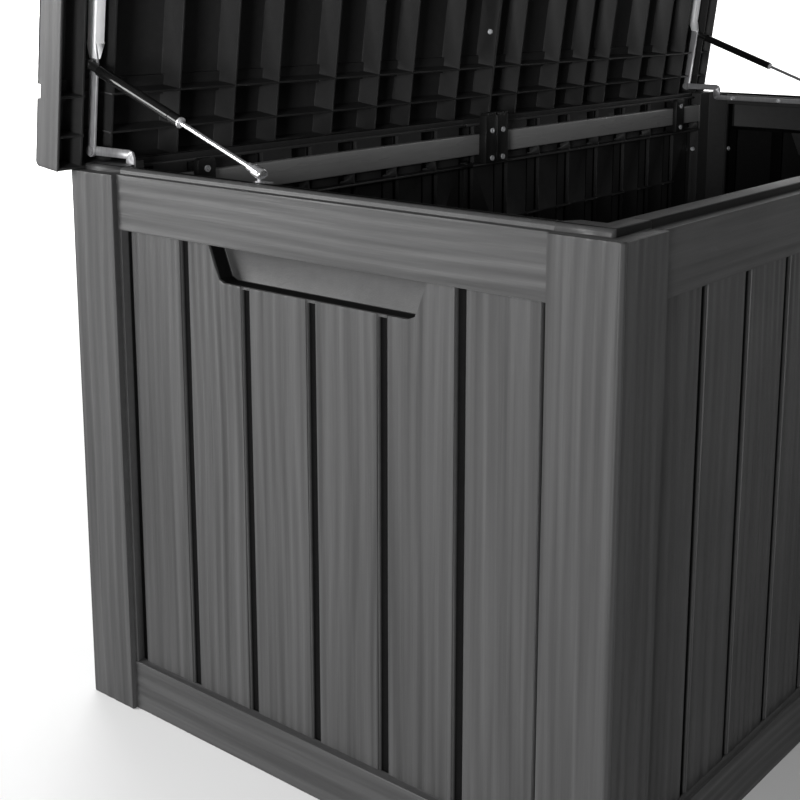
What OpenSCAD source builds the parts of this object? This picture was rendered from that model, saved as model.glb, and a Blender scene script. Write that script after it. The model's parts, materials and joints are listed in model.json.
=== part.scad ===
// Deck storage box with plank-style resin walls, corner posts and a lid on steel hinge arms.
// The lid is drawn open. Origin: centre of the floor area under the corner posts. +Z up,
// +X along the length, front at -Y, hinges at +Y. Millimetres.

/* [Body] */
// Length over the corner posts
box_l = 1516; // [1480:1:1560]
// Width over the corner posts
box_w = 722; // [700:1:740]
// Height of the corner posts
post_h = 640; // [620:1:660]
// Width of a corner post on each face
post_w = 75.5; // [70:0.5:80]
// Height of the top rail
top_rail_h = 62; // [50:1:70]
// Height of the bottom rail
bottom_rail_h = 61; // [50:1:80]

/* [Planks] */
// Planks on the front and rear walls
long_planks = 15; // [11:2:17]
// Planks on the end walls
end_planks = 6; // [4:2:8]
// Width of the groove between two planks
groove_w = 13; // [8:0.5:16]
// Depth of that groove
groove_d = 5; // [3:0.5:6]

/* [Lid] */
// Opening angle of the lid
lid_open = 83; // [60:1:88]
// Overhang of the lid past the posts at the ends and front
lid_over = 16; // [12:1:20]
// Overhang of the lid past the rear posts
lid_over_rear = 27; // [24:1:30]
// Depth of the lid's skirt
lid_skirt = 39.8; // [36:0.1:42]
// Planks on the lid
lid_planks = 5; // [3:1:7]

/* [Hinge and struts] */
// Gap from the hinge axis back to the lid's rear face
hinge_in = 18; // [16:1:20]
// Height of the hinge axis above the posts
hinge_up = 17; // [16:1:19]
// Distance of the upper strut stud from the hinge axis
stud_reach = 101; // [95:1:105]
// Distance of the lower strut stud in front of the hinge axis
stud_front = 285; // [280:1:290]
// Diameter of the gas strut's tube
strut_d = 12.6; // [11:0.1:12.8]
// Diameter of the gas strut's rod
rod_d = 5.4; // [4:0.1:6]

/* [Hidden] */
$fn = 48;

resin = [0.20, 0.20, 0.21];
black = [0.07, 0.07, 0.07];
zinc = [0.82, 0.83, 0.85];
steel = [0.45, 0.45, 0.46];

half_l = box_l / 2;
half_w = box_w / 2;
skin = 4;                        // wall thickness of every moulding
rail_in = 6;                     // rail faces sit this far inside the post faces
plank_in = 14;                   // plank faces sit this far inside the post faces
wall_t = 41;                     // post face to the inside of the box
chamfer = 5;                     // vertical outer edge of a post
rim_h = 7;                       // rim above the post tops
rim_top = post_h + rim_h;
rail_z = post_h - top_rail_h;    // underside of the top rail
flange_z = rim_top - 20;         // lower edge of the rim's inner flange
rib_reach = 30;                  // depth of the horizontal ribs inside the walls

inner_x = half_l - post_w;       // a long wall runs between +-inner_x
inner_y = half_w - post_w;       // an end wall runs between +-inner_y
groove_draft = 2.5;              // a groove is this much narrower per side at its floor
long_pitch = (2 * inner_x - groove_w) / long_planks;
end_pitch = (2 * inner_y - groove_w) / end_planks;
seam_x = long_pitch / 2;         // panel halves meet in the groove beside the middle plank

// Inner and outer edges of the rim on the long and the end walls, from the post face
long_rim = [18, wall_t];
end_rim = [13, 27];
end_flange = wall_t;
rear_rim = [11, 21.5];

// Ridges, shelf and steel bars on the inside of the rear wall
ridge_w = 53;
ridge_d = 27;
shelf_d = wall_t;
shelf_z = [576, 579.5];
bar_z = [593, 624.6];
bar_d = [ridge_d, 39];           // the bar lies between these depths
bar_end = inner_x - 0.5;
bracket_half = 29;
bracket_z = [580.5, 653];
bracket_d = 52.5;
clip_x = 591;
clip_w = 29;
clip_z = [580.5, 641];
clip_d = 47.3;
clip_round = 5;

// Lid, described closed and then turned open about the hinge axis
hinge_y = half_w + lid_over_rear - hinge_in;
hinge_z = post_h + hinge_up;
lid_half_l = half_l + lid_over;
lid_front = -half_w - lid_over;
lid_rear = half_w + lid_over_rear;
lid_z0 = post_h + 6.7;           // lower edge of the skirt when closed
lid_z1 = lid_z0 + lid_skirt;
lid_border = 78;
lid_round = 7;                   // outer edges along the front and rear of the lid
lid_groove_w = 16;
lid_rib_z = rim_top + 1;         // lower edge of the ribs when closed
rib_t = 2.5;
lid_seam = 51;
lid_pitch = (lid_rear - lid_front - 2 * lid_border - lid_groove_w) / lid_planks;
cell_rows = [39, 84];            // rib rows, from the lid's front and rear faces
lid_ribs = [-595, -503, -426, -317, -225, -149, -39, 123, 236, 324, 396, 510, 599, 670];

// Steel arms, tubes and struts at each end, as distances from the middle of the box
arm_x = [713, 716];
lid_arm_x = [716.5, 719.5];
lid_arm_h = 13;
tube_x = 712.8;
tube_rise = 5.3;                 // the tube lies this far above the hinge axis
tube_s = 14.5;
tube_t = 1.2;
strut_x = 726.9;
bar_h = 10.4;
strap_z = [post_h - 6.4, post_h + 4.8];
strap_screws = [105, 176.5, 270];
strap_screw_z = post_h - 2;
goose_y = [297, 311];
tip_u = [107, 124];              // taper and tube start, from the hinge axis
tube_end_u = 715;
tube_screw_u = [243, 364, 606];  // in the middle of a plank
channel = [698.5, 736];        // ribs are notched here for the arms, tubes and struts
channel_z = post_h + 31;

stud_y = hinge_y - stud_front;
stud_z = post_h + 16;
upper_drop = 2;
pin_r = 3;
head_r = 4;                      // cross head of the lower stud, which the strut turns on
neck_r = 2.2;                    // its upright shank
stud_r = 2.5;
ear_z = [post_h + 4.2, post_h + 6.4];
run_gap = 0.05;                  // radial clearance of the turning pins

// Upper strut stud at the open lid, and the strut's line from the lower stud
function turned(y, z, a) = [hinge_y + y * cos(a) - z * sin(a), hinge_z + y * sin(a) + z * cos(a)];
upper_at = turned(-stud_reach, -upper_drop, -lid_open);
strut_v = [upper_at[0] - stud_y, upper_at[1] - stud_z];
strut_len = norm(strut_v);
strut_tilt = atan2(strut_v[1], strut_v[0]);
tube_start = 127.5;                // strut tube's lower end, from the lower stud
tube_wall = 1;

// ---- shared shapes ----

// Box from one corner to the other
module block(a, b) {
  translate(a) cube([b[0] - a[0], b[1] - a[1], b[2] - a[2]]);
}

// A cylinder of radius r along X between two stations
module rod_x(r, x0, x1) {
  translate([x0, 0, 0]) rotate([0, 90, 0]) cylinder(h = x1 - x0, r = r);
}

// A cylinder of radius r along Y between two stations
module rod_y(r, y0, y1) {
  translate([0, y0, 0]) rotate([-90, 0, 0]) cylinder(h = y1 - y0, r = r);
}

// An outline in (depth, height) swept along X
module swept_x(x0, x1) {
  translate([x0, 0, 0]) rotate([90, 0, 90]) linear_extrude(height = x1 - x0) children();
}

// Wall frames: x along the wall, y into the box, z up
module on_front() { translate([0, -half_w, 0]) children(); }
module on_rear() { translate([0, half_w, 0]) rotate([0, 0, 180]) children(); }
module on_left() { translate([-half_l, 0, 0]) rotate([0, 0, -90]) children(); }
module on_right() { translate([half_l, 0, 0]) rotate([0, 0, 90]) children(); }

// side is -1 for left and 1 for right; shapes are written for the right side
module on_side(side) { if (side < 0) mirror([1, 0, 0]) children(); else children(); }

// Turns what is drawn closed about the hinge axis, to the open lid
module opened() {
  translate([0, hinge_y, hinge_z]) rotate([-lid_open, 0, 0]) translate([0, -hinge_y, -hinge_z])
    children();
}

// Strut frame: y along the strut from the lower stud
module along_strut() {
  translate([strut_x, stud_y, stud_z]) rotate([strut_tilt, 0, 0]) children();
}

// Pan-head screw along +Y: head from -head_h to 0, shank from 0 to length
module screw_y(length, r = 2, head_r = 4, head_h = 2.2) {
  rod_y(r, -0.5, length);
  difference() {
    rod_y(head_r, -head_h, 0);
    for (a = [0, 90]) rotate([0, a, 0]) block([-2.4, -head_h - 1, -0.5], [2.4, -head_h + 1, 0.5]);
  }
}

// ---- walls ----

// Planks in plan: a corrugated sheet with a groove at each station in cuts
module plank_plan(x0, x1, cuts) {
  difference() {
    union() {
      translate([x0, plank_in]) square([x1 - x0, skin]);
      for (c = cuts) intersection() {
        translate([c - groove_w / 2 - skin, plank_in]) square([groove_w + 2 * skin, groove_d + skin]);
        translate([x0, plank_in]) square([x1 - x0, groove_d + skin]);
      }
    }
    for (c = cuts) translate([c, plank_in])
      polygon([[-groove_w / 2 - groove_draft / groove_d, -1], [groove_draft - groove_w / 2, groove_d],
               [groove_w / 2 - groove_draft, groove_d], [groove_w / 2 + groove_draft / groove_d, -1]]);
  }
}

// Top rail and rim outlines, in (depth, height)
module long_rim_outline() {
  polygon([[rail_in, rail_z], [rail_in, post_h], [long_rim[0], post_h], [long_rim[0], rim_top],
           [long_rim[1], rim_top], [long_rim[1], flange_z], [long_rim[1] - 3, flange_z],
           [long_rim[1] - 3, rim_top - skin], [long_rim[0] + skin, rim_top - skin],
           [long_rim[0] + skin, post_h - skin], [rail_in + skin, post_h - skin],
           [rail_in + skin, rail_z + skin], [rib_reach, rail_z + skin], [rib_reach, rail_z]]);
}

module end_rim_outline() {
  polygon([[rail_in, rail_z], [rail_in, post_h], [end_rim[0], post_h], [end_rim[0], rim_top - 3],
           [end_rim[0] + 3, rim_top], [end_rim[1] - 2, rim_top], [end_rim[1], rim_top - 2],
           [end_rim[1], rim_top - 3], [end_flange, rim_top - 3], [end_flange, flange_z],
           [end_flange - 3, flange_z], [end_flange - 3, post_h], [end_rim[0] + skin, post_h],
           [end_rim[0] + skin, post_h - skin], [rail_in + skin, post_h - skin],
           [rail_in + skin, rail_z + skin], [rib_reach, rail_z + skin], [rib_reach, rail_z]]);
}

module rear_rim_outline() {
  polygon([[rail_in, rail_z], [rail_in, post_h], [rear_rim[0], post_h], [rear_rim[0], rim_top],
           [rear_rim[1], rim_top], [rear_rim[1], post_h], [ridge_d, post_h],
           [ridge_d, post_h - skin], [rail_in + skin, post_h - skin],
           [rail_in + skin, rail_z + skin], [plank_in + skin, rail_z + skin],
           [plank_in + skin, rail_z]]);
}

module bottom_rail_outline() {
  polygon([[rail_in, 0], [rail_in, bottom_rail_h], [plank_in + skin, bottom_rail_h],
           [plank_in + skin, bottom_rail_h - skin], [rail_in + skin, bottom_rail_h - skin],
           [rail_in + skin, skin], [wall_t, skin], [wall_t, 0]]);
}

// Holes for the screws that hold a panel's end web to a post
screw_rows = [110, 330, 540];
screw_depth = 30;
module end_web_holes(x) {
  for (z = screw_rows) translate([x, screw_depth, z]) rod_x(2.1, -skin - 5, skin + 5);
}

// Vertical web that closes a panel's end, from x0 to x0 + skin
module end_web(x0, depth, top) {
  block([x0, rail_in, 0], [x0 + skin, depth, top]);
}

module front_panel(side) {
  x0 = side < 0 ? -inner_x : seam_x;
  x1 = side < 0 ? seam_x : inner_x;
  cuts = [for (i = [0 : long_planks]) -inner_x + groove_w / 2 + i * long_pitch];
  web_x = side < 0 ? x0 : x1 - skin;
  color(resin) on_front() difference() {
    union() {
      translate([0, 0, bottom_rail_h - skin]) linear_extrude(height = rail_z - bottom_rail_h + 2 * skin)
        plank_plan(x0, x1, cuts);
      swept_x(x0, x1) long_rim_outline();
      swept_x(x0, x1) bottom_rail_outline();
      end_web(web_x, wall_t, rail_z);
    }
    end_web_holes(side < 0 ? -inner_x : inner_x);
  }
}

// Hollow ridges behind the planks, in plan
module ridge_plan(x0, x1) {
  reach = (long_planks - 1) / 2;
  for (i = [-reach : reach]) {
    c = i * long_pitch;
    if (c - ridge_w / 2 > x0 && c + ridge_w / 2 < x1) translate([c - ridge_w / 2, plank_in + skin - 1])
      difference() {
        square([ridge_w, ridge_d - plank_in - skin + 1]);
        translate([3, -1]) square([ridge_w - 6, ridge_d - plank_in - skin - 1]);
      }
  }
}

// Shelf under the steel bars, with an upright bracket at each groove
module bar_shelf(x0, x1, cuts) {
  block([x0, plank_in + 1, shelf_z[0]], [x1, shelf_d, shelf_z[1]]);
  for (c = cuts) if (c - 2 > x0 && c + 2 < x1 && abs(abs(c) - clip_x) > clip_w)
    swept_x(c - 1.5, c + 1.5)
      polygon([[plank_in + groove_d + 1, shelf_z[0]], [shelf_d - 1, shelf_z[0]],
               [shelf_d - 1, shelf_z[1] + 1], [bar_d[1], bar_z[0] - 0.1],
               [plank_in + groove_d + 1, bar_z[0] - 0.1]]);
}

// Low clips across the recesses between the ridges
tab_z = 482;
tab_w = 40;
tab_reach = 32;
module recess_tabs(x0, x1, cuts) {
  for (c = cuts) if (c - tab_w / 2 > x0 && c + tab_w / 2 < x1)
    block([c - tab_w / 2, plank_in + groove_d + 1, tab_z], [c + tab_w / 2, tab_reach, tab_z + 3]);
}

module rear_panel(side) {
  // written in the turned rear frame, where the right half lies at negative x
  x0 = side > 0 ? -inner_x : seam_x;
  x1 = side > 0 ? seam_x : inner_x;
  cuts = [for (i = [0 : long_planks]) -inner_x + groove_w / 2 + i * long_pitch];
  web_x = side > 0 ? x0 : x1 - skin;
  color(resin) on_rear() difference() {
    union() {
      translate([0, 0, bottom_rail_h - skin]) linear_extrude(height = rail_z - bottom_rail_h + 2 * skin)
        plank_plan(x0, x1, cuts);
      translate([0, 0, skin]) linear_extrude(height = post_h - 2 * skin + 1) ridge_plan(x0, x1);
      swept_x(x0, x1) rear_rim_outline();
      swept_x(x0, x1) bottom_rail_outline();
      bar_shelf(x0, x1, cuts);
      recess_tabs(x0, x1, cuts);
      end_web(web_x, wall_t, shelf_z[1]);
    }
    end_web_holes(side > 0 ? -inner_x : inner_x);
  }
}

// Hand-hold outline on the wall, grown by g
grip_top = 148;
grip_low = 136;
grip_z = [rail_z - 40, rail_z];
module grip_outline(g) {
  z = grip_z[0];
  half = [[grip_top + g, grip_z[1] + 1], [grip_low + g, z + 12], [grip_low - 3.5 + g * 0.7, z + 3.5 - g * 0.7],
          [grip_low - 12, z - g]];
  polygon(concat(half, [for (i = [3 : -1 : 0]) [-half[i][0], half[i][1]]]));
}
grip_depth = 36;

module upright(h0, h1) {
  translate([0, h1, 0]) rotate([90, 0, 0]) linear_extrude(height = h1 - h0) children();
}

module end_panel() {
  cuts = [for (i = [0 : end_planks]) -inner_y + groove_w / 2 + i * end_pitch];
  difference() {
    union() {
      translate([0, 0, bottom_rail_h - skin]) linear_extrude(height = rail_z - bottom_rail_h + 2 * skin)
        plank_plan(-inner_y, inner_y, cuts);
      swept_x(-inner_y, inner_y) end_rim_outline();
      swept_x(-inner_y, inner_y) bottom_rail_outline();
      for (x = [-inner_y, inner_y - skin]) end_web(x, wall_t, flange_z);
      upright(plank_in + 1, grip_depth + 3) grip_outline(3);
    }
    difference() {
      upright(-1, grip_depth) grip_outline(0);
      block([-half_w, -2, rail_z], [half_w, wall_t, rail_z + 10]);
    }
    for (x = [-inner_y, inner_y]) end_web_holes(x);
    for (y = strap_screws, s = [-1, 1]) translate([s * y, 0, strap_screw_z]) rod_y(1.6, 30, 45);
  }
}

// ---- corner posts ----

module post_plan(g) {
  // L in plan at the right rear corner, drawn g inside its faces
  polygon([[inner_x + g, half_w - g], [half_l - chamfer - g * 0.4, half_w - g],
           [half_l - g, half_w - chamfer - g * 0.4], [half_l - g, inner_y + g],
           [half_l - wall_t + g, inner_y + g], [half_l - wall_t + g, half_w - wall_t + g],
           [inner_x + g, half_w - wall_t + g]]);
}

// Rim corner: follows the rims of both walls and widens to the inside corner
module post_cap_plan(long_out) {
  polygon([[inner_x, half_w - long_out], [half_l - end_rim[0] - 3, half_w - long_out],
           [half_l - end_rim[0], half_w - long_out - 3], [half_l - end_rim[0], inner_y],
           [half_l - end_rim[1], inner_y], [half_l - wall_t + 1, inner_y + 9],
           [half_l - wall_t, half_w - wall_t], [inner_x, half_w - wall_t]]);
}

module post(sx, sy, long_out) {
  flip_x = sx < 0 ? 1 : 0;
  flip_y = sy < 0 ? 1 : 0;
  color(resin) mirror([flip_x, 0, 0]) mirror([0, flip_y, 0]) difference() {
    union() {
      linear_extrude(height = post_h) post_plan(0);
      translate([0, 0, post_h - 1]) linear_extrude(height = rim_h + 1) post_cap_plan(long_out);
    }
    translate([0, 0, -1]) linear_extrude(height = post_h - skin + 1) post_plan(skin);
    // the end wall's rim slopes off on its outer edge
    translate([half_l - end_rim[0], half_w + 1, rim_top - 3]) rotate([90, 0, 0])
      linear_extrude(height = half_w) polygon([[0, 0], [1, 0], [1, 4], [-3, 4], [-3, 3]]);
    for (z = screw_rows) {
      translate([inner_x, half_w - screw_depth, z]) rod_x(2.1, -5, skin + 5);
      translate([half_l - screw_depth, inner_y, z]) rod_y(2.1, -5, skin + 5);
    }
  }
}

// ---- base ----

base_z = [30, 34];
base_ribs_x = 5;
base_ribs_y = 4;
joiner = [30, 290, 4];
base_hx = half_l - wall_t - 0.5;
base_hy = half_w - wall_t - 0.5;

module base_half(side) {
  color(resin) on_side(side) difference() {
    union() {
      block([0, -base_hy, base_z[0]], [base_hx, base_hy, base_z[1]]);
      for (i = [0 : base_ribs_x]) {
        x = i * (base_hx - 3) / base_ribs_x;
        block([x, -base_hy, 0], [x + 3, base_hy, base_z[0] + 1]);
      }
      for (i = [0 : base_ribs_y]) {
        y = -base_hy + i * (2 * base_hy - 3) / base_ribs_y;
        block([0, y, 0], [base_hx, y + 3, base_z[0] + 1]);
      }
      for (y = [-240, -80, 80, 240]) translate([18, y, 0]) cylinder(h = base_z[0] + 1, r = 7);
    }
    block([-1, -joiner[1] - 0.5, -1], [joiner[0] + 0.5, joiner[1] + 0.5, joiner[2] + 0.1]);
    for (y = [-240, -80, 80, 240]) translate([18, y, -1]) cylinder(h = 24, r = 2.1);
  }
}

module base_joiner() {
  color(resin) difference() {
    block([-joiner[0], -joiner[1], 0], [joiner[0], joiner[1], joiner[2]]);
    for (x = [-18, 18], y = [-240, -80, 80, 240]) translate([x, y, -1]) {
      cylinder(h = 10, r = 2.1);
      cylinder(h = 3.4, r = 4.2);
    }
  }
}

module base_screws() {
  color(steel) for (x = [-18, 18], y = [-240, -80, 80, 240])
    translate([x, y, 2.4]) rotate([90, 0, 0]) screw_y(18);
}

// ---- steel bars, bracket and clips on the rear wall ----

module rear_bar(side) {
  color(steel) on_side(side) difference() {
    block([0, half_w - bar_d[1], bar_z[0]], [bar_end, half_w - bar_d[0], bar_z[1]]);
    block([-1, half_w - bar_d[1] + 1.2, bar_z[0] + 1.2],
          [bar_end + 1, half_w - bar_d[0] - 1.2, bar_z[1] - 1.2]);
  }
}

bracket_screw_x = 14;
bracket_rows = [588, 630];
tooth = 4;
module bar_bracket(side) {
  y0 = half_w - bracket_d;
  y1 = half_w - bar_d[1] - 0.2;
  back = half_w - ridge_d;
  color(black) on_side(side) difference() {
    union() {
      block([0.2, y0, bracket_z[0]], [bracket_half, y1, bracket_z[1]]);
      block([0.2, y1 - 1, bracket_z[0]], [bracket_half - 4, back, bar_z[0] - 0.3]);
      block([0.2, y1 - 1, bar_z[1] + 0.3], [bracket_half - 4, back, post_h - skin]);
      for (i = [0 : 2]) translate([3.5 + i * 9, 0, bracket_z[1]]) block([0, y0, -1], [5, y1, tooth]);
    }
    for (z = bracket_rows) translate([bracket_screw_x, 0, z]) rod_y(2.1, y0 - 1, back + 1);
  }
}

module bracket_screws() {
  color(steel) for (x = [-bracket_screw_x, bracket_screw_x], z = bracket_rows)
    translate([x, half_w - bracket_d, z]) screw_y(bracket_d - ridge_d - 0.3);
}

clip_rows = [589.5, 628.5];
module bar_clip(side) {
  y0 = half_w - clip_d;
  y1 = half_w - bar_d[1] - 0.2;
  back = half_w - plank_in - groove_d - skin;
  w = clip_w / 2;
  color(black) on_side(side) translate([clip_x, 0, 0]) difference() {
    union() {
      upright(y0, y1)
        polygon([[-w, clip_z[0]], [w, clip_z[0]], [w, clip_z[1] - clip_round], [w - 1.5, clip_z[1] - 1.5],
                 [w - clip_round, clip_z[1]], [clip_round - w, clip_z[1]], [1.5 - w, clip_z[1] - 1.5],
                 [-w, clip_z[1] - clip_round]]);
      block([4 - w, y1 - 1, clip_z[0]], [w - 4, back, bar_z[0] - 0.3]);
      block([4 - w, y1 - 1, bar_z[1] + 0.3], [w - 4, back, post_h - skin]);
    }
    for (z = clip_rows) translate([0, 0, z]) rod_y(1.9, y0 - 1, back + 1);
  }
}

module clip_screws() {
  color(steel) for (x = [-clip_x, clip_x], z = clip_rows)
    translate([x, half_w - clip_d, z]) screw_y(22, r = 1.8);
}

// ---- hinge arms on the box ----

module hinge_arm(side) {
  z0 = hinge_z - bar_h / 2;
  z1 = hinge_z + bar_h / 2;
  color(steel) on_side(side) difference() {
    union() {
      swept_x(arm_x[0], arm_x[1])
        polygon([[stud_y - 9, strap_z[0]], [goose_y[1] - 9, strap_z[0]], [goose_y[1] - 2.6, strap_z[0] + 2.6],
                 [goose_y[1], strap_z[0] + 9], [goose_y[1], z0], [hinge_y, z0], [hinge_y, z1],
                 [goose_y[0] + 9, z1], [goose_y[0] + 2.6, z1 - 2.6], [goose_y[0], z1 - 9],
                 [goose_y[0], strap_z[1]], [stud_y - 9, strap_z[1]]]);
      // ear that carries the lower stud
      block([arm_x[1] - 1, stud_y - 8, ear_z[0]], [strut_x + 4.4, stud_y + 8, ear_z[1]]);
      translate([0, hinge_y, hinge_z]) rod_x(bar_h / 2 + 1, arm_x[0], arm_x[1]);
    }
    translate([0, hinge_y, hinge_z]) rod_x(pin_r + run_gap, arm_x[0] - 1, arm_x[1] + 1);
    translate([strut_x, stud_y, ear_z[0] - 1]) cylinder(h = 5, r = neck_r + run_gap);
    for (y = strap_screws) translate([0, y, strap_screw_z]) rod_x(2.1, arm_x[0] - 1, arm_x[1] + 1);
  }
}

module arm_screws() {
  color(zinc) for (side = [-1, 1], y = strap_screws) on_side(side)
    translate([arm_x[0], y, strap_screw_z]) rotate([0, 0, -90]) screw_y(10, r = 1.5, head_r = 3.4);
}

module hinge_pin(side) {
  color(steel) on_side(side) translate([0, hinge_y, hinge_z]) {
    rod_x(pin_r, arm_x[0] - 1.8, lid_arm_x[1] + 1.8);
    rod_x(5.6, arm_x[0] - 2, arm_x[0]);
    rod_x(5.6, lid_arm_x[1] + 0.3, lid_arm_x[1] + 2.2);
  }
}

// Lower stud: upright shank through the ear, collar, and the cross head that the strut turns on
module lower_stud(side) {
  color(steel) on_side(side) translate([strut_x, stud_y, 0]) {
    translate([0, 0, ear_z[0] + 0.2]) cylinder(h = stud_z - ear_z[0] - 1, r = neck_r);
    translate([0, 0, ear_z[1]]) cylinder(h = 1.4, r = 4.3);
    translate([0, 0, stud_z]) rod_x(head_r, -4, 3.8);
  }
}

// ---- screws that hold the panels to the posts ----

module post_screws() {
  color(steel) for (z = screw_rows) {
    for (sx = [-1, 1]) on_side(sx) for (sy = [-1, 1]) {
      translate([inner_x - skin, sy * (half_w - screw_depth), z]) rotate([0, 0, -90]) screw_y(13);
      translate([half_l - screw_depth, sy * (inner_y - skin), z]) rotate([0, 0, sy > 0 ? 0 : 180])
        screw_y(13);
    }
  }
}

// ---- lid ----

// Planked top and the front and rear skirts, in (y, z)
module lid_outline() {
  fold_w = lid_groove_w + 2 * skin;
  translate([lid_front, lid_z1 - skin]) square([lid_rear - lid_front, skin]);
  translate([lid_front, lid_z0]) square([skin, lid_skirt]);
  translate([lid_rear - skin, lid_z0]) square([skin, lid_skirt]);
  for (i = [0 : lid_planks])
    translate([lid_groove_y(i) - fold_w / 2, lid_z1 - groove_d - skin]) square([fold_w, groove_d + skin]);
}

// What the rounded outer edge takes off at the front or rear face
module lid_corner(y) {
  way = y < 0 ? 1 : -1;
  difference() {
    translate([y - (way < 0 ? lid_round : 1), lid_z1 - lid_round]) square([lid_round + 1, lid_round + 1]);
    translate([y + way * lid_round, lid_z1 - lid_round]) circle(r = lid_round);
  }
}

function lid_groove_y(i) = lid_front + lid_border + lid_groove_w / 2 + i * lid_pitch;

module lid_grooves() {
  for (i = [0 : lid_planks]) translate([lid_groove_y(i), lid_z1])
    polygon([[-lid_groove_w / 2 - 1, 1], [-lid_groove_w / 2, -1], [-lid_groove_w / 2, -groove_d],
             [lid_groove_w / 2, -groove_d], [lid_groove_w / 2, -1], [lid_groove_w / 2 + 1, 1]]);
}

spacer_r = 6;
seam_rows = [-300, -100, 100, 250];
edge_rib = 739;                  // rib beside the tube, from the middle of the box
inner_rib = 696;                 // rib on the other side of the left tube
tube_top = hinge_z + tube_rise + tube_s / 2;

// A rib across the lid, centred on x
module lid_rib(x, thick) {
  block([x - thick / 2, lid_front + 1, lid_rib_z], [x + thick / 2, lid_rear - 1, lid_z1 - skin + 1]);
}

module lid_half(side) {
  x0 = side < 0 ? -lid_half_l : lid_seam;
  x1 = side < 0 ? lid_seam : lid_half_l;
  end_x = side < 0 ? x0 : x1 - skin;
  rows = concat([for (r = cell_rows) lid_front + r], [for (r = cell_rows) lid_rear - r]);
  color(resin) opened() difference() {
    union() {
      swept_x(x0, x1) lid_outline();
      block([end_x, lid_front, lid_z0], [end_x + skin, lid_rear, lid_z1]);
      for (x = concat([side * edge_rib], lid_ribs, side < 0 ? [-inner_rib] : []))
        if (x > x0 && x < x1) lid_rib(x, rib_t);
      lid_rib(lid_seam + side * 1.5, 3);
      for (y = rows) block([x0 + 1, y - rib_t / 2, lid_rib_z], [x1 - 1, y + rib_t / 2, lid_z1 - skin + 1]);
    }
    for (y = [lid_front, lid_rear]) swept_x(x0 - 1, x1 + 1) lid_corner(y);
    // grooves between the planks, out through the end skirt
    swept_x(x0 - 1, x1 + 1) lid_grooves();
    // room for the arms, tubes and struts
    on_side(side) block([channel[0], lid_front + 20, lid_z0 - 1], [channel[1], lid_rear - skin, channel_z]);
    for (y = seam_rows) translate([lid_seam, y, lid_rib_z + 12]) rod_x(2.1, -8, 8);
  }
}

// Spacers between the lid and its tubes
module tube_spacers() {
  color(resin) opened() for (side = [-1, 1], u = tube_screw_u)
    translate([side * tube_x, hinge_y - u, tube_top]) difference() {
      cylinder(h = lid_z1 - skin - tube_top, r = spacer_r);
      translate([0, 0, -1]) cylinder(h = 11, r = 1.6);
    }
}

module seam_screws() {
  color(steel) opened() for (y = seam_rows)
    translate([lid_seam - 3, y, lid_rib_z + 12]) rotate([0, 0, -90]) screw_y(9);
}

module upper_stud_bore() {
  translate([0, hinge_y - stud_reach, hinge_z - upper_drop])
    rod_x(stud_r + run_gap, lid_arm_x[0] - 1, lid_arm_x[1] + 10);
}

// Square tube under the lid, pressed flat onto the arm at the hinge end
tube_z = hinge_z + tube_rise;
module lid_tube(side) {
  half = tube_s / 2;
  y_tip = hinge_y - tip_u[0];
  y_tube = hinge_y - tip_u[1];
  y_end = hinge_y - tube_end_u;
  inner = half - tube_t;
  color(zinc) opened() on_side(side) difference() {
    union() {
      block([tube_x - half, y_end, tube_z - half], [tube_x + half, y_tube, tube_z + half]);
      hull() {
        block([tube_x - half, y_tube - 0.5, tube_z - half], [tube_x + half, y_tube, tube_z + half]);
        block([lid_arm_x[0] - 1.4, y_tip - 0.5, hinge_z - lid_arm_h / 2],
              [lid_arm_x[1] + 0.5, y_tip, hinge_z + lid_arm_h / 2]);
      }
    }
    block([tube_x - inner, y_end - 1, tube_z - inner], [tube_x + inner, y_tube + 0.5, tube_z + inner]);
    // slot for the flat arm through the taper
    block([lid_arm_x[0] - 0.1, y_tube - 0.2, hinge_z - lid_arm_h],
          [lid_arm_x[1] + 0.1, y_tip + 1, tube_z + lid_arm_h]);
    for (u = tube_screw_u) translate([tube_x, hinge_y - u, tube_z - tube_s]) cylinder(h = 2 * tube_s, r = 1.8);
  }
}

module tube_screws() {
  color(zinc) opened() for (side = [-1, 1], u = tube_screw_u)
    translate([side * tube_x, hinge_y - u, tube_z - tube_s / 2]) rotate([90, 0, 0])
      screw_y(24, r = 1.5, head_r = 3.4);
}

// Flat bar from the hinge axis to the tube
module lid_arm(side) {
  w = lid_arm_h / 2;
  y_tip = hinge_y - tip_u[0];
  y_tube = hinge_y - tip_u[1];
  color(steel) opened() on_side(side) difference() {
    union() {
      swept_x(lid_arm_x[0], lid_arm_x[1])
        polygon([[hinge_y, hinge_z - w], [y_tip, hinge_z - w], [y_tube, tube_z - w], [y_tube, tube_z + w],
                 [y_tip, hinge_z + w], [hinge_y, hinge_z + w]]);
      translate([0, hinge_y, hinge_z]) rod_x(w + 0.6, lid_arm_x[0], lid_arm_x[1]);
    }
    translate([0, hinge_y, hinge_z]) rod_x(pin_r + run_gap, lid_arm_x[0] - 1, lid_arm_x[1] + 1);
    upper_stud_bore();
  }
}

// Upper stud: riveted through the arm, with a collar that faces the strut's cap
module upper_stud(side) {
  color(steel) opened() on_side(side) translate([0, hinge_y - stud_reach, hinge_z - upper_drop]) {
    rod_x(stud_r, lid_arm_x[0] - 2, strut_x - 6.7);
    rod_x(3.6, lid_arm_x[1], strut_x - 6.5);
  }
}

// ---- gas struts ----

rod_top = 155;
module strut_rod(side) {
  color(zinc) on_side(side) along_strut() rod_y(rod_d / 2, 9, rod_top);
}

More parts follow.
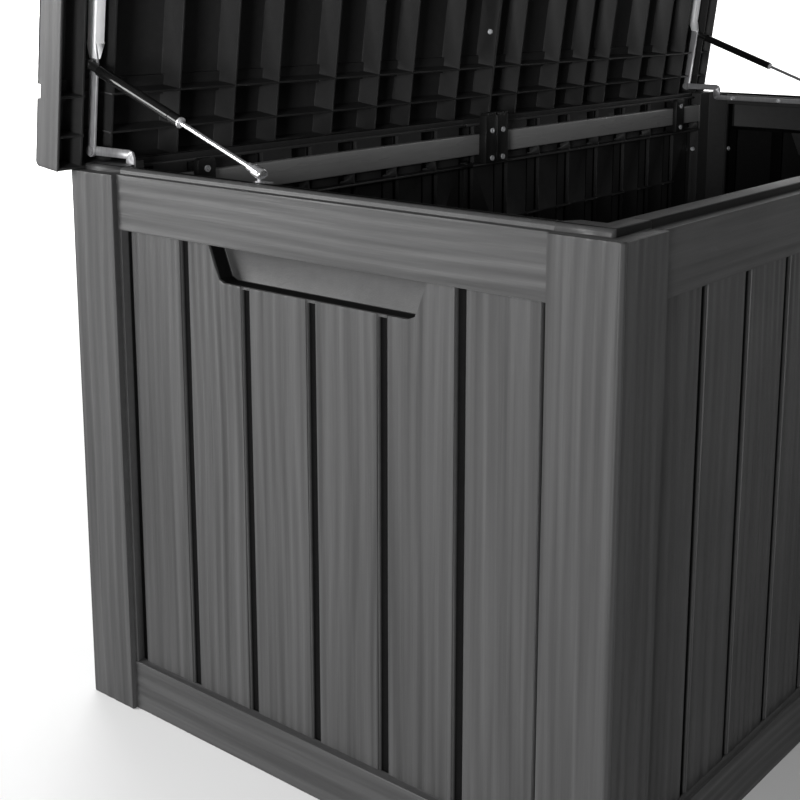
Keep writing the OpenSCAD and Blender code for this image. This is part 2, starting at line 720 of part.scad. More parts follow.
// Socket on the lower stud's cross head, slotted for the shank
module strut_eye(side) {
  color(zinc) on_side(side) along_strut() difference() {
    union() {
      rod_y(6.2, -5.4, 8);
      rod_y(4.4, 7, 16);
    }
    rod_x(head_r + run_gap, -8, 4);
    swept_x(-neck_r - 0.5, neck_r + 0.5) polygon([[2.8, 0], [3, -12], [-8.2, -12], [-3, 0]]);
    rod_y(rod_d / 2 + 0.02, 8.98, 20);
  }
}

bore_r = strut_d / 2 - tube_wall;
module strut_piston(side) {
  color(steel) on_side(side) along_strut() difference() {
    rod_y(bore_r - 0.1, rod_top - 6, rod_top + 1);
    rod_y(rod_d / 2 + 0.02, rod_top - 8, rod_top + 0.02);
  }
}

tube_stop = 20;                  // the tube ends this far short of the upper stud
module strut_tube(side) {
  top = strut_len - tube_stop;
  color(black) on_side(side) along_strut() difference() {
    rod_y(strut_d / 2, tube_start, top);
    rod_y(bore_r, tube_start - 1, top - 3);
    // rolled groove near the open end
    translate([0, tube_start + 15, 0]) difference() {
      rod_y(strut_d / 2 + 1, -0.8, 0.8);
      rod_y(strut_d / 2 - 0.4, -2, 2);
    }
  }
}

module strut_cap(side) {
  color(black) on_side(side) along_strut() translate([0, strut_len, 0]) {
    rod_x(5.6, -6, 5);
    rod_y(4.7, -tube_stop, 0);
  }
}

module strut_seal(side) {
  color(zinc) on_side(side) along_strut() difference() {
    union() {
      rod_y(strut_d / 2 - 0.3, tube_start - 2.2, tube_start);
      rod_y(bore_r - 0.02, tube_start - 1, tube_start + 8);
    }
    rod_y(rod_d / 2 + run_gap, tube_start - 5, tube_start + 10);
  }
}

post(-1, -1, long_rim[0]);  // post_front_left
post(1, -1, long_rim[0]);  // post_front_right
post(-1, 1, rear_rim[0]);  // post_rear_left
post(1, 1, rear_rim[0]);  // post_rear_right
front_panel(-1);  // front_panel_left
front_panel(1);  // front_panel_right
rear_panel(-1);  // rear_panel_left
rear_panel(1);  // rear_panel_right
color(resin) on_left() end_panel();  // end_panel_left
color(resin) on_right() end_panel();  // end_panel_right
base_half(-1);  // base_left
base_half(1);  // base_right
base_joiner();
rear_bar(-1);  // rear_bar_left
rear_bar(1);  // rear_bar_right
bar_bracket(-1);  // bar_bracket_left
bar_bracket(1);  // bar_bracket_right
bar_clip(-1);  // bar_clip_left
bar_clip(1);  // bar_clip_right
hinge_arm(-1);  // hinge_arm_left
hinge_arm(1);  // hinge_arm_right
hinge_pin(-1);  // hinge_pin_left
hinge_pin(1);  // hinge_pin_right
lower_stud(-1);  // lower_stud_left
lower_stud(1);  // lower_stud_right
post_screws();
bracket_screws();
clip_screws();
arm_screws();
base_screws();
lid_half(-1);  // lid_left
lid_half(1);  // lid_right
lid_tube(-1);  // lid_tube_left
lid_tube(1);  // lid_tube_right
lid_arm(-1);  // lid_arm_left
lid_arm(1);  // lid_arm_right
upper_stud(-1);  // upper_stud_left
upper_stud(1);  // upper_stud_right
tube_spacers();
tube_screws();
seam_screws();
strut_rod(-1);  // strut_rod_left
strut_rod(1);  // strut_rod_right
strut_eye(-1);  // strut_eye_left
strut_eye(1);  // strut_eye_right
strut_piston(-1);  // strut_piston_left
strut_piston(1);  // strut_piston_right
strut_tube(-1);  // strut_tube_left
strut_tube(1);  // strut_tube_right
strut_cap(-1);  // strut_cap_left
strut_cap(1);  // strut_cap_right
strut_seal(-1);  // strut_seal_left
strut_seal(1);  // strut_seal_right
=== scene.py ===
import json
import math
import bpy
import bmesh
import numpy as np
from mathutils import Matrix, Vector


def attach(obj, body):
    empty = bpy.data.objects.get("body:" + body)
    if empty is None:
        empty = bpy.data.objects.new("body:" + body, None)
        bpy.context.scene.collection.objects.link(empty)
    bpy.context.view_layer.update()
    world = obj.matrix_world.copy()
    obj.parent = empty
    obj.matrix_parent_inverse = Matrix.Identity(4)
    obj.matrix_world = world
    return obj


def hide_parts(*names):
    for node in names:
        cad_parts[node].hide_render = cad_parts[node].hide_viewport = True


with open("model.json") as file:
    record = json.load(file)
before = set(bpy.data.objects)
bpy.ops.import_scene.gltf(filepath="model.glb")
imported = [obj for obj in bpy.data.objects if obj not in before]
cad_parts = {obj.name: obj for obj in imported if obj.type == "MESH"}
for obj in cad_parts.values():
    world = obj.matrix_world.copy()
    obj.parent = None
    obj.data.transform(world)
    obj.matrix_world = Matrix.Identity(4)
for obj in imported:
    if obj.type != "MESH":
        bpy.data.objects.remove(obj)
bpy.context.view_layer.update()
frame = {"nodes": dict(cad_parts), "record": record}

NODES = frame["nodes"]
scene = bpy.context.scene
MM = 0.001

# The box's main dimensions, in millimetres, as in the CAD model
HALF_L, HALF_W, POST_H, POST_W = 758.0, 361.0, 640.0, 75.5
RAIL_IN, PLANK_IN = 6.0, 14.0
RAIL_Z, LOW_RAIL = 578.0, 61.0
INNER_X, INNER_Y = HALF_L - POST_W, HALF_W - POST_W
GROOVE = 13.0
CHAMFER = 5.0   # outer edge of a corner post
LONG_N, END_N = 15, 6
SEAM = (2 * INNER_X - GROOVE) / LONG_N / 2
LID_X, LID_Y0, LID_Y1, LID_Z0, LID_Z1, LID_SEAM = 774.0, -377.0, 388.0, 646.7, 686.5, 51.0
LID_BORDER, LID_GROOVE, LID_N, LID_ROUND = 78.0, 16.0, 5, 7.0
HINGE = (370.0, 657.0)
OPEN = math.radians(-83.0)
SKIN = 1.8      # depth of the layer that carries the grain
FEET = 0.3      # the layers start this far above the floor
SPECULAR = 0.24  # resin
WHITE = (1, 1, 1, 1)


# ---------------------------------------------------------------- materials

def material(name):
    mat = bpy.data.materials.new(name)
    mat.use_nodes = True
    nt = mat.node_tree
    return mat, nt, nt.nodes["Principled BSDF"]


def add(nt, kind, **values):
    n = nt.nodes.new(kind)
    for k, v in values.items():
        if k in n.inputs:
            n.inputs[k].default_value = v
        else:
            setattr(n, k, v)
    return n


def stretched(nt, scale, turn=0.0):
    """Object coordinates in metres, turned about X and scaled per axis."""
    co = add(nt, "ShaderNodeTexCoord")
    if turn:
        spin = add(nt, "ShaderNodeMapping")
        spin.inputs["Rotation"].default_value = (-turn, 0, 0)
        nt.links.new(co.outputs["Object"], spin.inputs["Vector"])
        source = spin.outputs["Vector"]
    else:
        source = co.outputs["Object"]
    size = add(nt, "ShaderNodeMapping")
    size.inputs["Scale"].default_value = scale
    nt.links.new(source, size.inputs["Vector"])
    return size.outputs["Vector"]


def noise(nt, vector, scale=1.0, detail=3.0, rough=0.55):
    n = add(nt, "ShaderNodeTexNoise", Scale=scale, Detail=detail, Roughness=rough)
    nt.links.new(vector, n.inputs["Vector"])
    return n.outputs["Fac"]


def ramp(nt, fac, stops):
    r = add(nt, "ShaderNodeValToRGB")
    e = r.color_ramp.elements
    while len(e) < len(stops):
        e.new(0.5)
    for k, (p, c) in enumerate(stops):
        e[k].position = p
        e[k].color = (*c, 1) if isinstance(c, tuple) else (c, c, c, 1)
    nt.links.new(fac, r.inputs["Fac"])
    return r.outputs["Color"]


def bump(nt, bsdf, height, strength, distance):
    b = add(nt, "ShaderNodeBump", Strength=strength, Distance=distance)
    nt.links.new(height, b.inputs["Height"])
    nt.links.new(b.outputs["Normal"], bsdf.inputs["Normal"])


def painted_recess_shade(nt, back):
    """Painted shade by depth inside the box's faces: 1 near them, 0.1 from the groove floors to back, then
    1.
    """
    part = add(nt, "ShaderNodeSeparateXYZ")
    nt.links.new(add(nt, "ShaderNodeTexCoord").outputs["Object"], part.inputs[0])
    inward = []
    for axis, half in (("X", HALF_L), ("Y", HALF_W)):
        size = add(nt, "ShaderNodeMath", operation="ABSOLUTE")
        nt.links.new(part.outputs[axis], size.inputs[0])
        rest = add(nt, "ShaderNodeMath", operation="SUBTRACT")
        rest.inputs[0].default_value = half * MM
        nt.links.new(size.outputs[0], rest.inputs[1])
        inward.append(rest)
    least = add(nt, "ShaderNodeMath", operation="MINIMUM")
    for k in range(2):
        nt.links.new(inward[k].outputs[0], least.inputs[k])
    span = 50       # millimetres from one end of the ramp to the other
    scaled = add(nt, "ShaderNodeMath", operation="MULTIPLY")
    scaled.inputs[1].default_value = 1 / (span * MM)
    nt.links.new(least.outputs[0], scaled.inputs[0])
    stops = [(0.335, 1.0), (0.368, 0.1), (back / span, 0.1), (back / span + 0.03, 1.0)]
    return ramp(nt, scaled.outputs[0], stops)


def resin(name, along, turn=0.0, base=0.034, painted_shade_depth=0):
    """Charcoal resin with soft streaks along one axis; with painted shade, darker and less glossy as far in
    as recess, in millimetres.
    """
    mat, nt, p = material(name)
    scale = [110.0, 110.0, 110.0]
    if along is not None:
        scale[along] = 2.2
    streak = noise(nt, stretched(nt, scale, turn), 1.0, 2.0, 0.5)
    low, high = (0.92, 1.08) if along is None else (0.66, 1.30)
    col = ramp(nt, streak, [(0.30, (base * low, base * low, base * low * 1.01)),
                            (0.50, (base, base, base * 1.01)),
                            (0.70, (base * high, base * high, base * high * 1.01))])
    # Painted shade: colour and specular level drop to a tenth between the groove floors and the given depth
    # inside the faces
    if painted_shade_depth:
        depth = painted_recess_shade(nt, painted_shade_depth)
        shade = add(nt, "ShaderNodeVectorMath", operation="MULTIPLY")
        nt.links.new(col, shade.inputs[0])
        nt.links.new(depth, shade.inputs[1])
        col = shade.outputs[0]
        shine = add(nt, "ShaderNodeMath", operation="MULTIPLY")
        shine.inputs[1].default_value = SPECULAR
        nt.links.new(depth, shine.inputs[0])
        nt.links.new(shine.outputs[0], p.inputs["Specular IOR Level"])
    nt.links.new(col, p.inputs["Base Color"])
    cloud = noise(nt, stretched(nt, (9.0, 9.0, 9.0)), 1.0, 2.0, 0.5)
    nt.links.new(ramp(nt, cloud, [(0.3, 0.44), (0.7, 0.54)]), p.inputs["Roughness"])
    p.inputs["Specular IOR Level"].default_value = SPECULAR
    fine = [520.0, 520.0, 520.0]
    if along is not None:
        fine[along] = 14.0
    bump(nt, p, noise(nt, stretched(nt, fine, turn), 1.0, 3.0, 0.6), 0.30, 0.0007)
    return mat


def metal(name, dark, light, rough, grain, metallic=1.0, strength=0.08, shine=0.5):
    """Metal or paint with a fine grain; grain is the noise scale per axis."""
    mat, nt, p = material(name)
    p.inputs["Specular IOR Level"].default_value = shine
    n = noise(nt, stretched(nt, grain), 1.0, 3.0, 0.55)
    nt.links.new(ramp(nt, n, [(0.3, dark), (0.7, light)]), p.inputs["Base Color"])
    m = noise(nt, stretched(nt, tuple(g * 0.4 for g in grain)), 1.0, 2.0, 0.5)
    nt.links.new(ramp(nt, m, [(0.3, rough[0]), (0.7, rough[1])]), p.inputs["Roughness"])
    p.inputs["Metallic"].default_value = metallic
    bump(nt, p, n, strength, 0.0004)
    return mat


def grey(value):
    return (value,) * 3


# Resin by the direction of its streaks; u is along the open lid's end skirts, the rest have no direction
RESIN = {"z": resin("resin_upright", 2), "x": resin("resin_lengthwise", 0),
         "y": resin("resin_across", 1), "u": resin("resin_lid_end", 1, turn=OPEN),
         # The wall resins carry painted shade: darker and less glossy from the groove floors back into the
         # walls
         "wall": resin("resin_wall_painted_shade", None, base=0.032, painted_shade_depth=20.5),
         "end_wall": resin("resin_end_wall_painted_shade", None, base=0.032, painted_shade_depth=34.0),
         "plain": resin("resin_plain", None, base=0.018)}
MAT = {
    "bar_paint": metal("bar_paint", grey(0.27), grey(0.30), (0.26, 0.30), (20, 200, 200), 0.0, 0.02),
    "bracket_plastic": metal("bracket_plastic", grey(0.010), grey(0.014), (0.42, 0.55), (300, 300, 300),
                             0.0, 0.15, 0.3),
    "arm_steel": metal("arm_steel", (0.30, 0.30, 0.31), (0.40, 0.40, 0.41), (0.34, 0.46), (300, 300, 60),
                       0.45),
    "zinc_tube": metal("zinc_tube", (0.86, 0.87, 0.88), (0.93, 0.93, 0.94), (0.34, 0.44), (90, 90, 30), 0.1),
    "screw_zinc": metal("screw_zinc", (0.66, 0.67, 0.69), (0.80, 0.81, 0.83), (0.22, 0.32), (500, 500, 500),
                        0.4),
    "strut_chrome": metal("strut_chrome", (0.72, 0.72, 0.74), (0.82, 0.82, 0.83), (0.12, 0.18),
                          (200, 200, 200), 0.85, 0.02),
    "strut_paint": metal("strut_paint", grey(0.006), grey(0.009), (0.12, 0.16), (250, 250, 250),
                         0.0, 0.02, 0.12),
    "strut_plastic": metal("strut_plastic", grey(0.008), grey(0.012), (0.30, 0.40), (300, 300, 300),
                           0.0, 0.1, 0.2),
    "seal_ring": metal("seal_ring", (0.62, 0.62, 0.63), (0.72, 0.72, 0.73), (0.28, 0.36), (300, 300, 300),
                       0.6),
}


# ---------------------------------------------------------------- pieces

def opened(y, z):
    """A point given with the lid closed, turned to the open lid."""
    c, s = math.cos(OPEN), math.sin(OPEN)
    y, z = y - HINGE[0], z - HINGE[1]
    return HINGE[0] + y * c - z * s, HINGE[1] + y * s + z * c


def closed_coords(co):
    """Vertex positions in millimetres, turned back to the closed lid."""
    c, s = math.cos(-OPEN), math.sin(-OPEN)
    y, z = co[:, 1] - HINGE[0], co[:, 2] - HINGE[1]
    return np.stack([co[:, 0], HINGE[0] + y * c - z * s, HINGE[1] + y * s + z * c], 1)


def get_co(mesh):
    co = np.zeros(len(mesh.vertices) * 3)
    mesh.vertices.foreach_get("co", co)
    return co.reshape(-1, 3) / MM


def set_co(mesh, co):
    mesh.vertices.foreach_set("co", (co * MM).ravel())
    mesh.update()


def make(name, verts, faces, mat, body):
    mesh = bpy.data.meshes.new(name)
    mesh.from_pydata([tuple(c * MM for c in v) for v in verts], [], faces)
    mesh.update()
    for f in mesh.polygons:
        f.use_smooth = True
    mesh.set_sharp_from_angle(angle=math.radians(38))
    obj = bpy.data.objects.new(name, mesh)
    scene.collection.objects.link(obj)
    obj.data.materials.append(mat)
    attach(obj, body)
    return obj


def refined(node, width, mat, body, segments=2, shortest=7.0, change=None):
    """A copy of a CAD node whose edges longer than shortest are rounded; change may move its vertices."""
    mesh = NODES[node].data.copy()
    mesh.materials.clear()
    if change:
        set_co(mesh, change(get_co(mesh)))
    bm = bmesh.new()
    bm.from_mesh(mesh)
    bmesh.ops.remove_doubles(bm, verts=bm.verts, dist=2e-6)
    bmesh.ops.dissolve_limit(bm, angle_limit=math.radians(1.0), verts=bm.verts, edges=bm.edges)
    weight = bm.edges.layers.float.new("bevel_weight_edge")
    for e in bm.edges:
        long_enough = len(e.link_faces) == 2 and e.calc_length() > shortest * MM
        if long_enough and e.calc_face_angle(0) > math.radians(35):
            e[weight] = 1.0
    bm.to_mesh(mesh)
    bm.free()
    obj = bpy.data.objects.new(node + "_fine", mesh)
    scene.collection.objects.link(obj)
    mod = obj.modifiers.new("edges", "BEVEL")
    mod.width, mod.segments = width * MM, segments
    mod.limit_method = "WEIGHT"
    mod.use_clamp_overlap = False
    bpy.context.view_layer.update()
    done = bpy.data.meshes.new_from_object(obj.evaluated_get(bpy.context.evaluated_depsgraph_get()))
    obj.modifiers.clear()
    obj.data = done

    # The bevel may overshoot where edges meet at a slant, so the copy is held to the CAD node's box
    bm = bmesh.new()
    bm.from_mesh(done)
    bmesh.ops.triangulate(bm, faces=[f for f in bm.faces if len(f.verts) > 4])
    bm.to_mesh(done)
    bm.free()
    source = get_co(mesh)
    set_co(done, np.clip(get_co(done), source.min(0), source.max(0)))
    for f in done.polygons:
        f.use_smooth = True
    done.set_sharp_from_angle(angle=math.radians(40))
    done.materials.append(mat)
    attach(obj, body)
    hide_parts(node)
    return obj


# ---------------------------------------------------------------- grain layers

rng = np.random.default_rng(7)


def grain(a, l):
    """Relief from 0 to 1 over across and along coordinates in millimetres, new for each call."""
    wave = np.concatenate([rng.uniform(11.5, 15.5, 1), rng.uniform(17, 24, 1), rng.uniform(7, 9, 2), [70]])
    amp = np.concatenate([[1.0], rng.uniform(0.35, 0.55, 1), rng.uniform(0.10, 0.18, 2), [0.2]])
    phase = rng.uniform(0, 6.28, len(wave))
    drift = rng.uniform(0, 6.28, 4)
    bent = a + 3.4 * np.sin(l / 150 + drift[0]) + 1.7 * np.sin(l / 61 + drift[1])
    h = np.zeros_like(a)
    for w, p, m in zip(wave, phase, amp):
        h += m * np.sin(6.283 * bent / w + p + 1.1 * np.sin(l / (90 + 5 * w) + 2 * p))
    h /= np.abs(h).max() + 1e-6
    return 0.5 + 0.5 * h * (0.75 + 0.25 * np.sin(l / 210 + drift[2]))


def layer(name, place, s0, s1, t0, t1, mat, body, along="t", step=(2.2, 22.0), top=None, relief=1.3):
    """A grained layer over s0..s1 and t0..t1. place(s, t, h) gives the point h above the layer's base.
    The grain runs along t or along s, and step is the mesh's spacing across it and along it. top(s) shortens
    the columns; its marks are places that need a column of their own."""
    ds, dt = (step[0], step[1]) if along == "t" else (step[1], step[0])
    inset, drop, edge = np.array([0.0, 0.45, 1.4]), np.array([0.0, 0.55, 0.92]), 2.6    # rounded edge
    mid_s = np.linspace(s0 + edge, s1 - edge, max(3, int((s1 - s0 - 2 * edge) / ds) + 1))
    if top:
        mid_s = np.unique(np.concatenate([mid_s, [m for m in top.marks if s0 + 3 < m < s1 - 3]]))
    s = np.concatenate([s0 + inset, mid_s, (s1 - inset)[::-1]])
    k = max(3, int((t1 - t0 - 2 * edge) / dt) + 1)
    frac = np.linspace(0, 1, k)
    count_s, count_t = len(s), k + 6
    T = np.zeros((count_s, count_t))
    for i, si in enumerate(s):
        b = top(si) if top else t1
        T[i] = np.concatenate([t0 + inset, (t0 + edge) + frac * (b - t0 - 2 * edge), (b - inset)[::-1]])
    S = np.repeat(s[:, None], count_t, 1)
    g = grain(S, T) if along == "t" else grain(T, S)
    es = np.concatenate([drop, np.ones(len(mid_s)), drop[::-1]])
    et = np.concatenate([drop, np.ones(k), drop[::-1]])
    H = SKIN * np.minimum(es[:, None], et[None, :])
    full = H > SKIN * 0.99
    H = np.where(full, SKIN - relief * (1 - g), np.minimum(H, SKIN - relief * (1 - g)))
    H[es == 0, :] = -0.3
    H[:, et == 0] = -0.3
    verts = [place(S[i, j], T[i, j], H[i, j]) for i in range(count_s) for j in range(count_t)]
    a, b, c = (Vector(verts[q]) for q in (0, count_t, 1))
    up = Vector(place(s0, t0, 1.0)) - Vector(place(s0, t0, 0.0))
    flip = (b - a).cross(c - a).dot(up) < 0
    faces = []
    for i in range(count_s - 1):
        for j in range(count_t - 1):
            q = i * count_t + j
            f = (q, q + count_t, q + count_t + 1, q + 1)
            faces.append(f[::-1] if flip else f)
    return make(name, verts, faces, mat, body)


def wall(side, depth):
    """place() for an outer face: s along the wall, t up, from a face depth millimetres inside the posts."""
    d = depth + SKIN
    if side == "front":
        return lambda s, t, h: (s, -HALF_W + d - h, t)
    if side == "rear":
        return lambda s, t, h: (s, HALF_W - d + h, t)
    if side == "left":
        return lambda s, t, h: (-HALF_L + d - h, s, t)
    return lambda s, t, h: (HALF_L - d + h, s, t)


GRIP_S = (124, 132.5, 136, 147.4, 148.4)    # corners of the hand-hold's outline, from its middle


def grip_top(s):
    """Upper end of an end plank, which stops at the hand-hold."""
    return float(np.interp(abs(s), [0, *GRIP_S, 400], [538, 538, 541.5, 550, 577, RAIL_Z, RAIL_Z]))


grip_top.marks = [sign * m for sign in (-1, 1) for m in GRIP_S]


# Walls: upright planks between two rails
for side in ("front", "rear", "left", "right"):
    long_wall = side in ("front", "rear")
    reach = INNER_X if long_wall else INNER_Y
    n = LONG_N if long_wall else END_N
    pitch = (2 * reach - GROOVE) / n
    flat = RESIN["x"] if long_wall else RESIN["y"]
    for i in range(n):
        s0 = -reach + GROOVE + i * pitch
        layer(f"{side}_plank_{i + 1}", wall(side, PLANK_IN), s0, s0 + pitch - GROOVE, LOW_RAIL, RAIL_Z,
              RESIN["z"], "root", top=None if long_wall else grip_top, relief=1.3 if long_wall else 1.65)
    seam = {"front": SEAM, "rear": -SEAM}.get(side)
    ends = [(-reach, reach)] if seam is None else [(-reach, seam), (seam, reach)]
    for k, (a, b) in enumerate(ends):
        layer(f"{side}_top_rail_{k + 1}", wall(side, RAIL_IN), a, b, RAIL_Z, POST_H, flat, "root", along="s")
        layer(f"{side}_bottom_rail_{k + 1}", wall(side, RAIL_IN), a, b, FEET, LOW_RAIL,
              flat, "root", along="s")

def post_edge(sx, sy):
    """place() for the chamfer on a post's outer corner: s across it, t up."""
    r2 = math.sqrt(0.5)
    return lambda s, t, h: (sx * (HALF_L - (s + SKIN - h) * r2),
                            sy * (HALF_W - CHAMFER + (s - SKIN + h) * r2), t)


# Corner posts: two faces and the chamfer between them
for sx, nx in ((-1, "left"), (1, "right")):
    for sy, ny in ((-1, "front"), (1, "rear")):
        upright = (FEET, POST_H, RESIN["z"], "root")
        a, b = sorted((sx * INNER_X, sx * (HALF_L - CHAMFER)))
        layer(f"post_face_{ny}_{nx}_long", wall(ny, 0), a, b, *upright)
        a, b = sorted((sy * INNER_Y, sy * (HALF_W - CHAMFER)))
        layer(f"post_face_{ny}_{nx}_end", wall(nx, 0), a, b, *upright, relief=1.65)
        layer(f"post_edge_{ny}_{nx}", post_edge(sx, sy), 0, CHAMFER * math.sqrt(2), *upright, relief=0.3)


def lid_top(s, t, h):
    """place() for the planks of the lid: s along X, t from front to rear."""
    return (s, *opened(t, LID_Z1 - SKIN + h))


def lid_end(sx):
    """place() for an end skirt: s from front to rear, t up, with the lid closed."""
    return lambda s, t, h: (sx * (LID_X - SKIN + h), *opened(s, t))


def lid_edge(sy):
    """place() for the border and skirt along the front or rear: t runs out over the border, round the edge
    and down."""
    outer = LID_Y1 if sy > 0 else LID_Y0
    centre = (outer - sy * LID_ROUND, LID_Z1 - LID_ROUND)
    flat, arc = LID_BORDER - LID_ROUND, LID_ROUND * math.pi / 2

    def place(s, t, h):
        out = h - SKIN
        if t < flat:
            y, z = outer - sy * (LID_BORDER - t), LID_Z1 + out
        elif t < flat + arc:
            a = (t - flat) / LID_ROUND
            y = centre[0] + sy * math.sin(a) * (LID_ROUND + out)
            z = centre[1] + math.cos(a) * (LID_ROUND + out)
        else:
            y, z = outer + sy * out, centre[1] - (t - flat - arc)
        return (s, *opened(y, z))
    return place


EDGE_RUN = LID_BORDER - LID_ROUND + LID_ROUND * math.pi / 2 + LID_Z1 - LID_ROUND - LID_Z0
LID_PITCH = (LID_Y1 - LID_Y0 - 2 * LID_BORDER - LID_GROOVE) / LID_N
rows = [(LID_Y0 + LID_BORDER + LID_GROOVE + i * LID_PITCH, LID_Y0 + LID_BORDER + (i + 1) * LID_PITCH)
        for i in range(LID_N)]
grooves = [LID_Y0 + LID_BORDER + LID_GROOVE / 2 + i * LID_PITCH for i in range(LID_N + 1)]


def skirt_top(s):
    """Upper edge of the end skirt: rounded at its ends, lower where a groove runs out through it."""
    gap = min(abs(s - g) for g in grooves) - LID_GROOVE / 2
    inset = LID_ROUND - min(s - LID_Y0, LID_Y1 - s, LID_ROUND)
    edge = LID_Z1 - 0.2 - LID_ROUND + math.sqrt(max(LID_ROUND ** 2 - inset ** 2, 0))
    return float(np.interp(gap, [0, 0.6], [LID_Z1 - 5.2, edge]))


skirt_top.marks = sorted([g + d * (LID_GROOVE / 2 + e) for g in grooves for d in (-1, 1) for e in (0, 0.6)]
                         + [e + d * k for e, d in ((LID_Y0, 1), (LID_Y1, -1))
                            for k in (2.2, 3.2, 4.4, 5.8, 7)])
for half, (x0, x1) in (("left", (-LID_X, LID_SEAM)), ("right", (LID_SEAM, LID_X))):
    for i, (y0, y1) in enumerate(rows):
        layer(f"lid_{half}_plank_{i + 1}", lid_top, x0, x1, y0, y1, RESIN["x"], "lid", along="s")
    for part, sy in (("front", -1), ("rear", 1)):
        layer(f"lid_{half}_{part}_edge", lid_edge(sy), x0, x1, 0, EDGE_RUN, RESIN["x"], "lid", along="s")
    layer(f"lid_{half}_end_skirt", lid_end(-1 if half == "left" else 1), LID_Y0, LID_Y1, LID_Z0, LID_Z1,
          RESIN["u"], "lid", along="s", step=(2.2, 9.0), top=skirt_top)


# ---------------------------------------------------------------- resin bodies under the grain

def pull_in(co, pairs):
    """Moves the vertices on an outer plane in by the grain layer's depth."""
    for axis, value in pairs:
        at = np.abs(co[:, axis] - value) < 0.02
        co[at, axis] -= math.copysign(SKIN, value)
    return co


def walls_in(co):
    both = [(a, s * v) for s in (-1, 1) for a, v in
            ((0, HALF_L), (1, HALF_W), (0, HALF_L - RAIL_IN), (1, HALF_W - RAIL_IN),
             (0, HALF_L - PLANK_IN), (1, HALF_W - PLANK_IN))]
    return pull_in(co, both)


def lid_in(co):
    shut = closed_coords(co)
    for outer, sy in ((LID_Y0, -1), (LID_Y1, 1)):
        dy, dz = (shut[:, 1] - outer) * sy + LID_ROUND, shut[:, 2] - (LID_Z1 - LID_ROUND)
        reach = np.hypot(dy, dz)
        arc = (dy > 0.02) & (dz > 0.02) & (reach > LID_ROUND - 0.1)
        shut[arc, 1] -= sy * dy[arc] / reach[arc] * SKIN
        shut[arc, 2] -= dz[arc] / reach[arc] * SKIN
        face = (np.abs(shut[:, 1] - outer) < 0.02) & ~arc
        shut[face, 1] -= sy * SKIN
    shut[np.abs(shut[:, 2] - LID_Z1) < 0.02, 2] -= SKIN
    ends = np.abs(np.abs(shut[:, 0]) - LID_X) < 0.02
    shut[ends, 0] -= np.sign(shut[ends, 0]) * SKIN
    y, z = opened(shut[:, 1], shut[:, 2])
    return np.stack([shut[:, 0], y, z], 1)


# Posts and wall panels take the wall resins, whose painted shade darkens their grooves and hollows
for node in NODES:
    if node.startswith("post_") and node != "post_screws":
        refined(node, 1.0, RESIN["wall"], "root", change=walls_in)
    elif "_panel_" in node:
        inside = "end_wall" if node.startswith("end_") else "wall"
        refined(node, 0.8, RESIN[inside], "root", change=walls_in)
    elif node in ("lid_left", "lid_right"):
        refined(node, 0.55, RESIN["plain"], "lid", change=lid_in)

def strap_low(co):
    """Takes the upper edge of the strap, with the underside of its ear, down behind the end rim."""
    top = (co[:, 2] > POST_H + 4.1) & (co[:, 2] < POST_H + 5.1)
    co[top, 2] -= 2.2
    return co


# Steel and plastic parts, with rounded edges
for side in ("left", "right"):
    refined(f"rear_bar_{side}", 2.0, MAT["bar_paint"], "root", segments=3)
    refined(f"lid_tube_{side}", 1.6, MAT["zinc_tube"], "lid", segments=3, shortest=10)
    refined(f"lid_arm_{side}", 0.5, MAT["arm_steel"], "lid")
    refined(f"hinge_arm_{side}", 0.5, MAT["arm_steel"], "root", change=strap_low)
    refined(f"bar_bracket_{side}", 0.8, MAT["bracket_plastic"], "root", shortest=3)
    refined(f"bar_clip_{side}", 0.8, MAT["bracket_plastic"], "root", shortest=3)

for side in ("left", "right"):
    refined(f"strut_eye_{side}", 1.6, MAT["strut_chrome"], f"strut_rod_{side}",
            segments=3, shortest=0.3)
    refined(f"strut_cap_{side}", 1.4, MAT["strut_plastic"], f"strut_cylinder_{side}",
            segments=3, shortest=0.3)

# CAD nodes kept as they are
slots = {s["node"]: s["material_slot"] for s in frame["record"]["subparts"]}
for node, obj in NODES.items():
    mat = MAT.get(slots[node], RESIN["plain"])
    obj.data.materials.clear()
    obj.data.materials.append(mat)


# ---------------------------------------------------------------- floor, light, camera

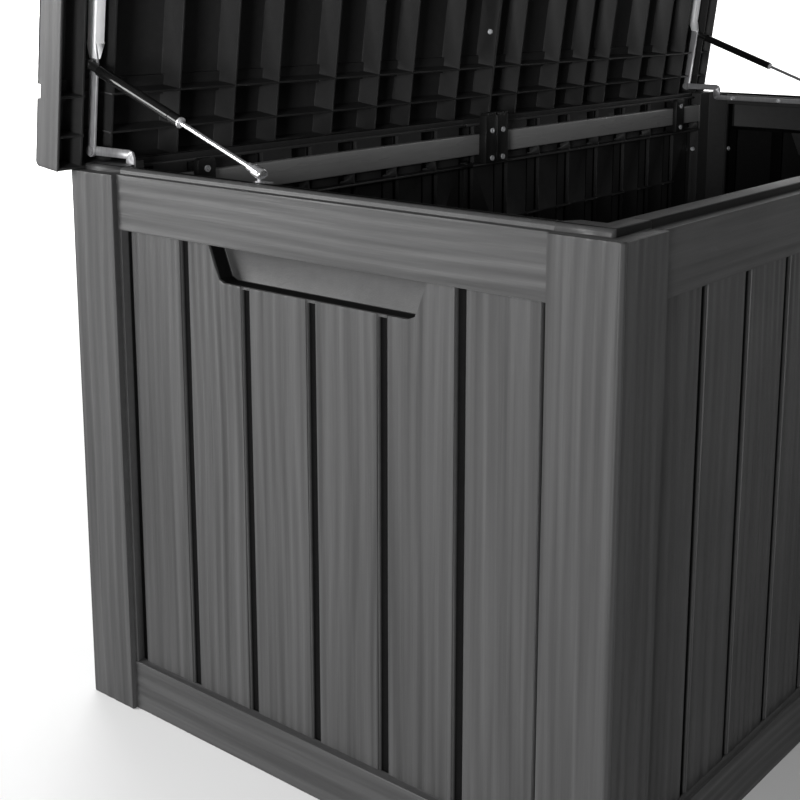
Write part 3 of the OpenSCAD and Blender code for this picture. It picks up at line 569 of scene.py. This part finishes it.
def stage_material(name, value, glow=0.0):
    mat, nt, p = material(name)
    n = noise(nt, stretched(nt, (3, 3, 3)), 1.0, 2.0, 0.5)
    nt.links.new(ramp(nt, n, [(0.3, value * 0.985), (0.7, value)]), p.inputs["Base Color"])
    p.inputs["Roughness"].default_value = 0.9
    p.inputs["Specular IOR Level"].default_value = 0.1
    if glow:
        p.inputs["Emission Color"].default_value = WHITE
        p.inputs["Emission Strength"].default_value = glow
    return mat


def stage_sheet(name, corners, mat):
    mesh = bpy.data.meshes.new(name)
    mesh.from_pydata(corners, [], [(0, 1, 2, 3)])
    obj = bpy.data.objects.new(name, mesh)
    scene.collection.objects.link(obj)
    mesh.materials.append(mat)


stage_sheet("floor", [(-14, -14, 0), (14, -14, 0), (14, 14, 0), (-14, 14, 0)],
            stage_material("floor_paint", 0.84))

stage_sheet("backdrop", [(13.4, -4.9, -0.1), (-2.6, 13.9, -0.1), (-2.6, 13.9, 9), (13.4, -4.9, 9)],
            stage_material("backdrop_paint", 0.86, 0.8))

world = bpy.data.worlds.new("studio")
scene.world = world
world.use_nodes = True
world.node_tree.nodes["Background"].inputs["Color"].default_value = WHITE
world.node_tree.nodes["Background"].inputs["Strength"].default_value = 0.12


def area(name, at, aim, size, power):
    data = bpy.data.lights.new(name, "AREA")
    data.shape = "RECTANGLE"
    data.size, data.size_y = size
    data.energy = power
    obj = bpy.data.objects.new(name, data)
    scene.collection.objects.link(obj)
    obj.location = at
    obj.rotation_euler = (Vector(aim) - Vector(at)).to_track_quat("-Z", "Y").to_euler()


area("key", (-3.5, 2.9, 1.5), (-0.75, 0, 0.4), (2.0, 1.2), 240)
area("side", (-3.6, -1.3, 0.8), (-0.6, -0.36, 0.35), (0.7, 0.9), 100)
area("behind", (2.6, 4.6, 3.2), (3.2, 5.4, 0), (3.0, 3.0), 420)

camera = bpy.data.objects.new("camera", bpy.data.cameras.new("camera"))
scene.collection.objects.link(camera)
azimuth, elevation = math.radians(-50.27), math.radians(11.06)
back = Vector((math.sin(azimuth) * math.cos(elevation), -math.cos(azimuth) * math.cos(elevation),
               math.sin(elevation)))
camera.location = (-1.6933, -0.9048, 0.8372)
camera.rotation_euler = back.to_track_quat("Z", "Y").to_euler()
camera.data.lens = 61.08
camera.data.sensor_width = 36.0
camera.data.shift_y = -0.1784
camera.data.clip_start = 0.02
scene.camera = camera
scene.view_settings.view_transform = "Standard"
